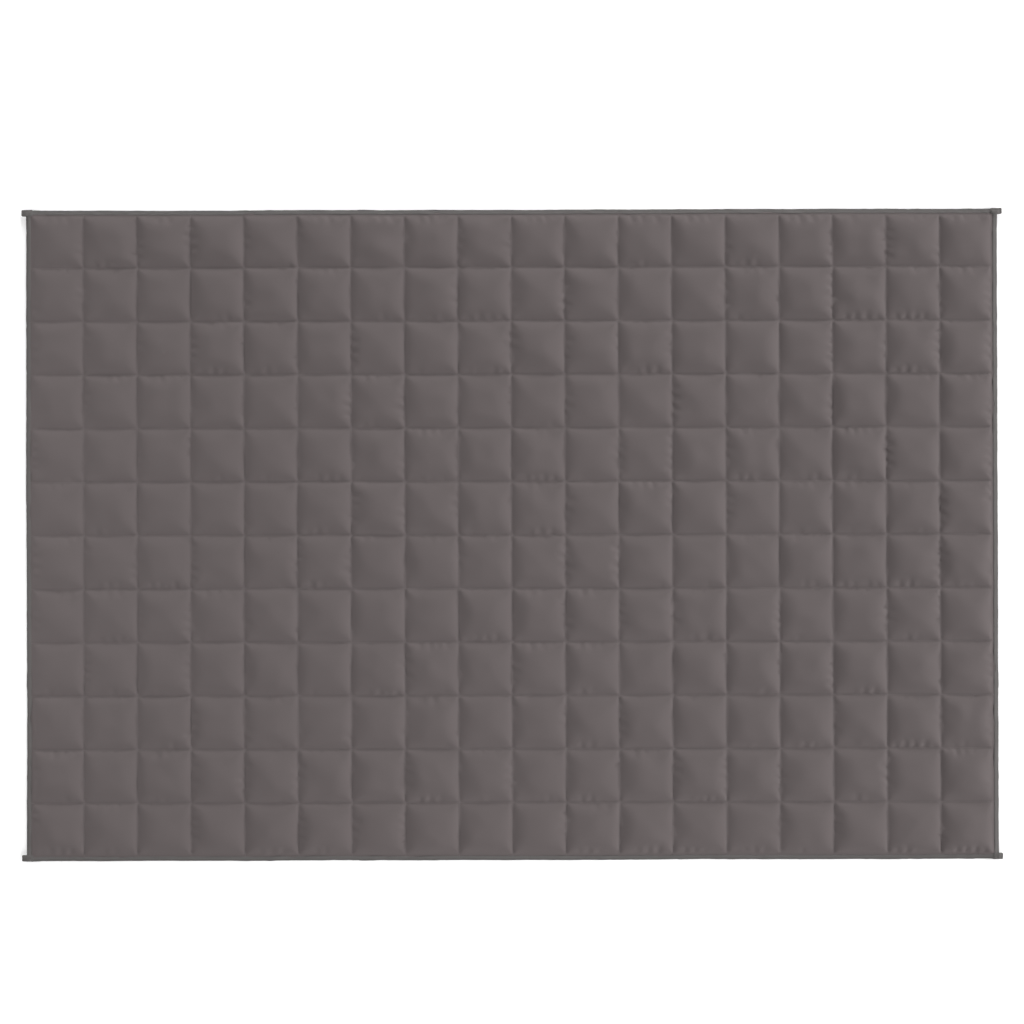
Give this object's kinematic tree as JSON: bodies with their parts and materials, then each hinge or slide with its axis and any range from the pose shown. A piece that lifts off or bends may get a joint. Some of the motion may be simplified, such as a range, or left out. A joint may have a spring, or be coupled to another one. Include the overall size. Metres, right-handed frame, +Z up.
{
  "type": "weighted blanket",
  "caption": "Flat filled blanket quilted into squares, with a folded tape binding along each side and small tucked tabs at its corners.",
  "frame": {"origin": "on the surface that the blanket lies on, under the middle of the blanket", "axes": "+X along the longer side, +Y across it towards the back binding, +Z up out of the face"},
  "size_m": [1.818, 1.2084, 0.0105],
  "materials": {
    "quilt_cloth": "plain woven warm grey cotton, matt with a faint soft sheen",
    "binding_tape": "plain woven warm grey tape, a little darker than the quilt"
  },
  "bodies": {
    "root": {"quilt": "quilt_cloth", "binding_left": "binding_tape", "binding_right": "binding_tape", "binding_front": "binding_tape", "binding_back": "binding_tape"}
  },
  "joints": []
}
